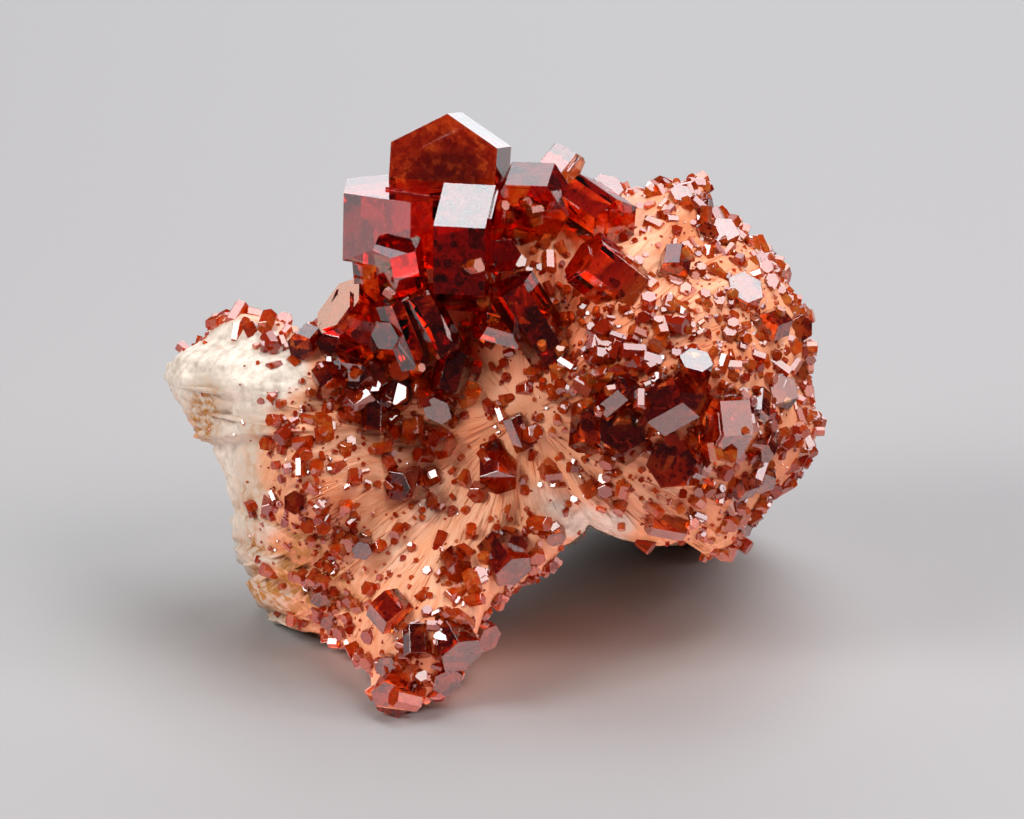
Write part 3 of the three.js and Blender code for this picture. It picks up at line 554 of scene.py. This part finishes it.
def prisms(ends, bases, sides, lengths, squeeze):
    level, facing, axis = bases
    chamfer = prismShape["chamfer"]
    turns = np.arange(6) * tau / 6
    rings = [(-lengths, sides), (-chamfer * sides, sides), (np.zeros_like(sides), sides * (1 - chamfer))]
    points = np.stack([
        ends[:, None] + axis[:, None] * up[:, None, None]
        + level[:, None] * (wide[:, None] * np.cos(turns) * squeeze[:, None])[..., None]
        + facing[:, None] * (wide[:, None] * np.sin(turns))[..., None]
        for up, wide in rings], 1)
    count = len(ends)
    index = np.arange(count * prismShape["corners"]).reshape(count, 3, 6)
    turnedIndex = np.roll(index, -1, axis=2)
    walls = np.stack([index[:, :-1], turnedIndex[:, :-1], turnedIndex[:, 1:], index[:, 1:]], -1)
    walls = walls.reshape(-1, 4)
    caps = np.concatenate([index[:, 0, ::-1], index[:, 2]])
    return points.reshape(-1, 3), walls.tolist() + caps.tolist()


# Two directions square to each axis and to each other, turned round it by spin
def basisOf(axis, spin):
    axis = unit(axis)
    guide = np.where(np.abs(axis[:, 1:2]) < 0.9, (0, 1, 0), (1, 0, 0))
    level = unit(np.cross(guide, axis))
    facing = np.cross(axis, level)
    cosine, sine = np.cos(spin)[:, None], np.sin(spin)[:, None]
    return level * cosine + facing * sine, facing * cosine - level * sine, axis


# The smooth matrix's normal: the cross product of its changes with step and with angle
def normalOf(angle, step):
    small = 0.01
    byAngle = smoothMatrix(angle + small, step) - smoothMatrix(angle - small, step)
    byStep = smoothMatrix(angle, step + small) - smoothMatrix(angle, np.abs(step - small))
    return unit(np.cross(byStep, byAngle) + (0, 0, 1e-9))


# The crust: grades of count, count round the rim, sides in mm, loss on the white and seed; the
# lights that open faces throw back; and spots of coarse, rim and dense growth
crustShape = {
    "grades": {"vanadinite_crust": (720, 360, (0.36, 1.0), 0.95, 17),
               "vanadinite_dust": (1900, 600, (0.1, 0.36), 0.7, 18)},
    "base": 0.12, "smallness": 1.5, "lengths": (1.7, 3.2), "lift": 0.1, "wander": 0.7, "reach": (0.5, 1.7),
    "squeeze": (0.8, 1.1), "warmShadeTint": 0.7, "rimSteps": (0.84, 1.3), "rimTries": 6, "mirrorShare": 0.45,
    "mirrors": ("overhead", "overhead", "overhead", "right", "rightLow", "frontLeft", "frontRight"),
    "coarse": [(600, 372, 6.5, 0.35), (400, 395, 6.0, 0.35), (520, 240, 6.0, 0.4), (480, 320, 5.0, 0.4)],
    "rim": [(795, 330, 13, 0.9), (715, 205, 10, 1.0), (785, 460, 9, 0.9), (740, 530, 5, 0.8),
            (430, 690, 8, 1.0), (265, 316, 6, 0.9), (505, 585, 5, 0.7), (610, 195, 8, 0.7),
            (330, 632, 4, 0.7)],
    "density": [(600, 375, 7, 0.9), (565, 325, 5, 0.8), (700, 390, 11, 0.9), (745, 300, 9, 1.3),
                (690, 270, 6, 0.6), (690, 215, 5, 1.3), (770, 430, 6, 1.2), (725, 510, 5, 1.1),
                (640, 440, 6, 0.4), (400, 385, 6, 1.3), (350, 360, 4, 1.3), (310, 430, 5, 0.8),
                (300, 520, 6, 1.1), (350, 560, 4, 1.0), (330, 610, 4, 0.9), (430, 655, 6, 1.3),
                (510, 560, 5, 0.9), (600, 490, 4, 0.8), (270, 328, 4, 1.3), (420, 495, 3, 0.7),
                (480, 300, 7, 1.0), (268, 440, 4, 0.9)]}


# Places round the rim, thick where the crust runs over the edge
def rimPlaces(count, random):
    tries = count * crustShape["rimTries"]
    angle = random.uniform(0, tau, tries)
    step = random.uniform(*crustShape["rimSteps"], tries)
    x, y, _ = np.moveaxis(smoothMatrix(angle, step), -1, 0)
    density = spots(crustShape["rim"], x, y) * (1 - smooth(step, 1.0, 1.2) * 0.9)
    keep = np.flatnonzero(random.uniform(0, 1, len(x)) < density)[:count]
    return angle[keep], step[keep]


# The row frame turned back to the face plane
def toFace(points):
    sine, cosine = np.sin(picture["lean"]), np.cos(picture["lean"])
    x, y, z = np.moveaxis(np.asarray(points, float), -1, 0)
    return np.stack([x, y * sine + z * cosine, z * sine - y * cosine], -1)


# The face between the eye and a light shows that light, seen from the middle of the crystals
crystalHeight = 0.04


def mirrorTo(name):
    return unit(unit(toFace(np.array(lights[name][0]) - (0, 0, crystalHeight))) + (0, 0, 1))


# Crystals with a free end or a side turned to a light, the foot half sunk in what carries them
mirrorShape = {"spread": 0.05, "lyingShare": 0.55, "lyingLift": 0.25, "standingLift": 0.75}


def mirrorCrystals(ground, faces, sides, lengths, random):
    count = len(sides)
    turnedFaces = unit(faces + mirrorShape["spread"] * random.normal(0, 1, (count, 3)))
    level, facing, axis = basisOf(turnedFaces, random.uniform(0, tau, count))
    lying = (random.uniform(0, 1, count) < mirrorShape["lyingShare"])[:, None]
    level, facing, axis = (np.where(lying, first, second)
                           for first, second in ((facing, level), (axis, facing), (level, axis)))
    ends = ground + np.where(
        lying, axis * lengths[:, None] / 2 + facing * mirrorShape["lyingLift"] * sides[:, None],
        axis * mirrorShape["standingLift"] * sides[:, None])
    return ends, level, facing, axis


# Crust: places on the front and round the rim, most sides small, some faces turned to a light and the
# rest near the ground's normal; those that would reach below the floor are left out
def crustCrystals(count, rimCount, sideRange, whiteLoss, seed):
    random = np.random.default_rng(seed)
    low, high = sideRange
    _, _, angle, step = scattered(crustShape["density"], crustShape["base"], count, whiteLoss, random)
    rimAngle, rimStep = rimPlaces(rimCount, random)
    angle, step = np.concatenate([angle, rimAngle]), np.concatenate([step, rimStep])
    count = len(angle)
    sides = low * (high / low) ** (random.uniform(0, 1, count) ** crustShape["smallness"])
    x, y, _ = np.moveaxis(smoothMatrix(angle, step), -1, 0)
    sides = sides * (1 + spots(crustShape["coarse"], x, y))
    lengths = sides * random.uniform(*crustShape["lengths"], count)
    normal = normalOf(angle, step)
    ground = matrixAt(angle, step) + normal * (crustShape["lift"] * sides)[:, None]
    directions = np.array([mirrorTo(name) for name in crustShape["mirrors"]])
    faces = directions[random.integers(0, len(directions), count)]
    mirror = mirrorCrystals(ground, faces, sides, lengths, random)
    axis = unit(normal + crustShape["wander"] * random.normal(0, 1, (count, 3)))
    level, facing, axis = basisOf(axis, random.uniform(0, tau, count))
    ends = ground + axis * (sides * random.uniform(*crustShape["reach"], count))[:, None]
    isMirror = (random.uniform(0, 1, count) < crustShape["mirrorShare"])[:, None]
    ends, level, facing, axis = (np.where(isMirror, first, second)
                                 for first, second in zip(mirror, (ends, level, facing, axis)))
    squeeze = random.uniform(*crustShape["squeeze"], count)
    # painted shade: crystals in the warm-shade spots get more of the deep red tint
    warmShade = crustShape["warmShadeTint"] * spots(stainsAndShade["warmShade"], x, y)
    tint = np.clip(random.uniform(0, 1, count) ** crustShape["smallness"] + warmShade, 0, 1)
    tips = np.stack([ends, ends - axis * lengths[:, None]])
    kept = (turned(tips) + shift)[..., 2].min(0) > sides
    basis = (level[kept], facing[kept], axis[kept])
    points, faces = prisms(ends[kept], basis, sides[kept], lengths[kept], squeeze[kept])
    return points, faces, np.repeat(tint[kept], prismShape["corners"])


for name, settings in crustShape["grades"].items():
    points, faces, tint = crustCrystals(*settings)
    piece = meshPiece(name, points, faces, crustGlass, False, {"tint": tint})
    print(name, len(faces), "faces")

# Single small crystals at their places in the picture, on whatever carries them there: pixel place
# and width of a side, grouped by the light that their open face throws back
singles = {
    "seed": 29, "sideScale": 0.9, "lengths": (1.8, 3.2), "lift": 0.8, "wander": 0.55, "redness": 1.5,
    "eye": 60, "fusedLift": 1.1, "fusedLength": 2.6,
    "kinds": {"overhead": "overhead", "low": "rightLow", "none": None},
    "overhead": [
        (256, 346, .45), (264, 345, .5), (285, 332, .6), (286, 346, .4), (311, 354, .9), (321, 367, .4),
        (318, 455, .5), (284, 479, .6), (311, 541, .65), (393, 413, .5), (382, 449, .8), (389, 463, .8),
        (407, 440, .6), (416, 433, .4), (454, 420, .7), (461, 458, .4), (452, 471, .35), (452, 497, .3),
        (422, 518, .4), (440, 573, .5), (484, 458, .6), (489, 440, .5), (533, 453, .6), (550, 465, .9),
        (530, 527, .5), (628, 186, .9), (631, 194, .8), (655, 195, .9), (640, 207, .6), (670, 210, .6),
        (664, 210, .5), (769, 269, .7), (630, 260, .4), (701, 269, .7), (651, 287, .8), (648, 301, 1.0),
        (677, 327, .7), (660, 330, 1.1), (733, 325, .8), (729, 335, .9), (744, 364, .7), (608, 325, .7),
        (612, 349, .7), (625, 314, .5), (566, 290, .6), (549, 263, .9), (544, 243, .8), (552, 393, .7),
        (561, 386, .7), (566, 393, .6), (584, 388, 1.2), (564, 408, .7), (582, 407, .7), (589, 402, .6),
        (611, 391, .7), (557, 419, .5), (640, 401, .8), (651, 427, .8), (725, 456, .9), (509, 217, .7),
        (535, 222, .7), (520, 234, .7), (534, 251, .6), (540, 269, .6), (474, 370, .4), (356, 373, .6),
        (390, 295, .7), (320, 366, .4), (577, 356, .8), (597, 350, .6), (620, 340, .7), (600, 410, .6),
        (575, 372, .8), (592, 380, .7), (560, 350, .6), (540, 380, .5), (527, 372, .4)],
    "low": [
        (236, 332, .8), (249, 331, .85), (284, 405, .5), (291, 446, .6), (312, 490, .7), (282, 587, .4),
        (306, 587, .4), (324, 586, .4), (326, 575, .5), (335, 535, .6), (418, 691, .9), (404, 700, 1.2),
        (426, 676, .7), (554, 482, .6), (690, 293, .5), (560, 247, .7), (503, 206, .7), (527, 201, .6),
        (534, 210, .8), (476, 266, 1.0), (420, 368, .6), (693, 524, .7), (731, 508, .7), (798, 417, .8),
        (797, 425, .6)],
    "none": [
        (244, 322, .6), (281, 316, .8), (271, 367, .65), (292, 359, .6), (272, 397, .75), (261, 400, .5),
        (285, 423, .5), (295, 425, .5), (282, 430, .6), (299, 458, .8), (307, 454, .6), (320, 439, .7),
        (318, 471, .7), (254, 512, .85), (325, 508, .6), (347, 507, .6), (353, 515, .5), (318, 520, .6),
        (357, 605, .85), (497, 405, .7), (441, 507, .5), (422, 510, .4), (452, 510, .5), (466, 511, .6),
        (406, 527, .6), (412, 549, .6), (436, 549, .45), (390, 575, .35), (412, 578, .4), (410, 587, .4),
        (428, 571, .6), (422, 600, .4), (506, 510, .5), (526, 490, .7), (497, 527, .5), (471, 529, .7),
        (542, 533, .7), (473, 604, .4), (405, 627, .5), (454, 595, 1.1), (640, 182, .8), (651, 207, .8),
        (678, 175, .8), (688, 174, .7), (699, 173, .8), (703, 186, .9), (703, 194, .5), (651, 223, .9),
        (676, 231, .7), (742, 264, .7), (754, 260, .6), (775, 284, .7), (765, 280, .7), (780, 312, .7),
        (638, 261, .7), (686, 254, .9), (697, 252, .4), (658, 245, .4), (713, 271, 1.0), (668, 301, .5),
        (684, 306, .65), (709, 306, .5), (682, 321, .9), (669, 329, .8), (717, 319, .6), (733, 316, .7),
        (718, 354, .6), (753, 350, .5), (786, 350, .6), (632, 367, .8), (589, 352, .6), (570, 334, .5),
        (619, 482, .35), (641, 479, .4), (632, 489, .45), (669, 501, .5), (681, 509, .6), (647, 506, .5),
        (620, 516, .4), (603, 510, .4), (705, 536, .4), (736, 506, 1.2), (706, 488, .7), (710, 484, .4),
        (716, 454, 1.0), (736, 467, .5), (745, 431, .5), (780, 438, .7), (782, 451, .7), (804, 402, .6),
        (756, 390, .5), (741, 378, .5), (752, 377, .5), (759, 374, .5), (766, 365, .6), (518, 263, 1.0),
        (484, 303, .9), (542, 345, .6), (564, 345, .6), (390, 357, .8)],
    # These repeat the fused crystals of the solid: pixel place, side, swing and tilt in degrees
    "fused": [
        (266, 312, .9, 200, 60), (264, 328, .95, 250, 55), (273, 347, .9, 300, 60), (322, 417, .95, 70, 45),
        (327, 437, .95, 280, 45), (268, 511, .95, 260, 50), (307, 527, .9, 250, 70), (323, 528, .95, 290, 70),
        (346, 546, .95, 240, 65), (536, 431, 1.0, 30, 60), (558, 362, 1.2, 100, 50), (607, 371, 1.1, 120, 50),
        (476, 496, 1.1, 240, 50), (472, 390, 1.2, 60, 60), (410, 424, .9, 80, 50), (463, 551, 1.1, 80, 60),
        (475, 590, 1.0, 290, 45), (538, 560, 1.0, 290, 50), (605, 492, .95, 270, 55), (698, 177, 1.0, 60, 45),
        (752, 236, 1.0, 95, 20), (787, 298, .85, 60, 40), (797, 346, 1.0, 20, 50), (803, 456, 1.1, 300, 45),
        (788, 440, 1.2, 30, 60), (729, 526, 1.1, 240, 45), (636, 188, .95, 80, 45), (655, 346, 1.0, 220, 55),
        (730, 330, 1.0, 40, 60)],
}


# All solids as one tree of triangles, to find what carries a crystal
def carriers():
    corners, faces = np.zeros((0, 3)), []
    for node in nodes.values():
        mesh = node.data
        mesh.calc_loop_triangles()
        places = np.zeros(len(mesh.vertices) * 3)
        triangles = np.zeros(len(mesh.loop_triangles) * 3, int)
        mesh.vertices.foreach_get("co", places)
        mesh.loop_triangles.foreach_get("vertices", triangles)
        faces += (triangles.reshape(-1, 3) + len(corners)).tolist()
        corners = np.concatenate([corners, places.reshape(-1, 3)])
    return BVHTree.FromPolygons(corners.tolist(), faces)


# Where the sight lines through places first meet a solid, with its normal turned to the eye
def carried(tree, places):
    away = Vector(turned((0, 0, -1)))
    hits = [tree.ray_cast(Vector(toRow((x, y, singles["eye"]))), away) for x, y in places]
    landed = np.array([hit[0] is not None for hit in hits])
    points = np.array([hit[0][:] for hit in hits if hit[0] is not None])
    normals = np.array([hit[1][:] for hit in hits if hit[0] is not None])
    normals = toFace(normals)
    normals = normals * np.where(normals[:, 2:] < 0, -1, 1)
    return toFace(points * 1000 - shift), normals, landed


# Singles: open faces to their light or axes near the ground's normal, and the fused ones by their angles
def singleCrystals():
    random = np.random.default_rng(singles["seed"])
    tree = carriers()
    parts = []
    for kind, mirror in singles["kinds"].items():
        rows = np.array(singles[kind])
        ground, normals, landed = carried(tree, faceOf(rows[:, :2]))
        sides = rows[landed, 2] * singles["sideScale"]
        count = len(sides)
        lengths = sides * random.uniform(*singles["lengths"], count)
        if mirror:
            turnedTo = mirrorCrystals(ground, mirrorTo(mirror), sides, lengths, random)
            parts.append((*turnedTo, sides, lengths))
        else:
            wander = random.normal(0, 1, (count, 3))
            spin = random.uniform(0, tau, count)
            level, facing, axis = basisOf(normals + singles["wander"] * wander, spin)
            ends = ground + axis * (singles["lift"] * sides)[:, None]
            parts.append((ends, level, facing, axis, sides, lengths))
    rows = np.array(singles["fused"])
    places = faceOf(rows[:, :2])
    swing, tilt = np.radians(rows[:, 3]), np.radians(rows[:, 4])
    axis = np.stack([np.cos(swing) * np.cos(tilt), np.sin(swing) * np.cos(tilt), np.sin(tilt)], -1)
    level, facing, axis = basisOf(axis, swing)
    angle, step, _ = stepOf(*places.T)
    ends = smoothMatrix(angle, step) + (0, 0, singles["fusedLift"])
    parts.append((ends, level, facing, axis, rows[:, 2], np.full(len(rows), singles["fusedLength"])))
    ends, level, facing, axis, sides, lengths = (np.concatenate(column) for column in zip(*parts))
    points, faces = prisms(ends, (level, facing, axis), sides, lengths, np.ones(len(sides)))
    tint = random.uniform(0, 1, len(sides)) ** singles["redness"]
    return points, faces, np.repeat(tint, prismShape["corners"])


points, faces, tint = singleCrystals()
piece = meshPiece("vanadinite_singles", points, faces, crustGlass, False, {"tint": tint})
print("singles", len(faces), "faces")

# The crystals of the solids: joined corners, fine bevels along the edges
crystalEdges = {"merge": 1e-6, "bevel": 0.00005, "segments": 2, "angle": np.radians(25)}
for name, node in nodes.items():
    if name == "matrix":
        continue
    node.data.materials.clear()
    node.data.materials.append(vanadinite)
    weld = node.modifiers.new("joined", "WELD")
    weld.merge_threshold = crystalEdges["merge"]
    bevel = node.modifiers.new("edges", "BEVEL")
    bevel.width = crystalEdges["bevel"]
    bevel.segments = crystalEdges["segments"]
    bevel.limit_method = "ANGLE"
    bevel.angle_limit = crystalEdges["angle"]
print("crystals", len(nodes) - 1, "nodes")

# Floor, light and camera
floorSettings = {"west": -9, "east": 9, "south": -9, "north": 9, "height": 0,
                 "colour": (0.36, 0.36, 0.365, 1), "rough": 0.7}
cardSettings = {"west": -0.8, "east": 0.8, "south": -1.2, "north": -0.062, "height": 0.001,
                "colour": (0.01, 0.01, 0.01, 1), "rough": 0.5}


def levelPlate(name, plate):
    material, _, shader = newMaterial(name)
    shader.inputs["Base Color"].default_value = plate["colour"]
    shader.inputs["Roughness"].default_value = plate["rough"]
    corners = [(plate["west"], plate["south"]), (plate["east"], plate["south"]),
               (plate["east"], plate["north"]), (plate["west"], plate["north"])]
    mesh = bpy.data.meshes.new(name)
    mesh.from_pydata([(x, y, plate["height"]) for x, y in corners], [], [(0, 1, 2, 3)])
    mesh.materials.append(material)
    piece = bpy.data.objects.new(name, mesh)
    bpy.context.scene.collection.objects.link(piece)
    return piece


floor = levelPlate("floor", floorSettings)

# A black card on the floor, nearer than the picture's edge, that only mirrored and bent rays see
card = levelPlate("card", cardSettings)
card.visible_camera = card.visible_diffuse = card.visible_shadow = False

middle = toRow((*faceOf(picture["middle"]), 0))


# A soft light of a given radiance: its power is that times pi and its area
def softbox(name, place, size, strength, colour, target):
    data = bpy.data.lights.new(name, "AREA")
    data.shape = "RECTANGLE"
    data.size, data.size_y = size
    data.energy = strength * np.pi * size[0] * size[1]
    data.color = colour
    light = bpy.data.objects.new(name, data)
    light.location = place
    light.rotation_euler = (Vector(target) - Vector(place)).to_track_quat("-Z", "Y").to_euler()
    light.visible_camera = False
    bpy.context.scene.collection.objects.link(light)


# A faint light just in front of the foot, facing up
lowLight = {"place": (0.005, -0.033, 0.0012), "size": (0.11, 0.045), "strength": 1.0,
            "colour": (1.0, 0.62, 0.58), "target": (0.005, -0.033, 1.0)}
for name, (place, size, strength, colour) in lights.items():
    softbox(name, place, size, strength, colour, middle)
softbox("low", *lowLight.values())
print("lights", len(lights) + 1)

world = bpy.data.worlds.new("studio")
world.use_nodes = True
background = world.node_tree.nodes["Background"]
background.inputs["Color"].default_value = (0.9, 0.93, 1.0, 1)
background.inputs["Strength"].default_value = 0.03
bpy.context.scene.world = world

cameraSettings = {"distance": 3.0, "sensor": 36.0, "clip": 50}
camera = bpy.data.objects.new("camera", bpy.data.cameras.new("camera"))
camera.data.sensor_width = cameraSettings["sensor"]
frameWidth = picture["width"] * picture["mmPerPixel"] / 1000
camera.data.lens = cameraSettings["sensor"] * cameraSettings["distance"] / frameWidth
camera.data.clip_end = cameraSettings["clip"]
camera.location = middle + turned((0, 0, cameraSettings["distance"]))
camera.rotation_euler = (np.pi / 2 - picture["lean"], 0, 0)
bpy.context.scene.collection.objects.link(camera)
bpy.context.scene.camera = camera
bpy.context.scene.view_settings.view_transform = "Standard"
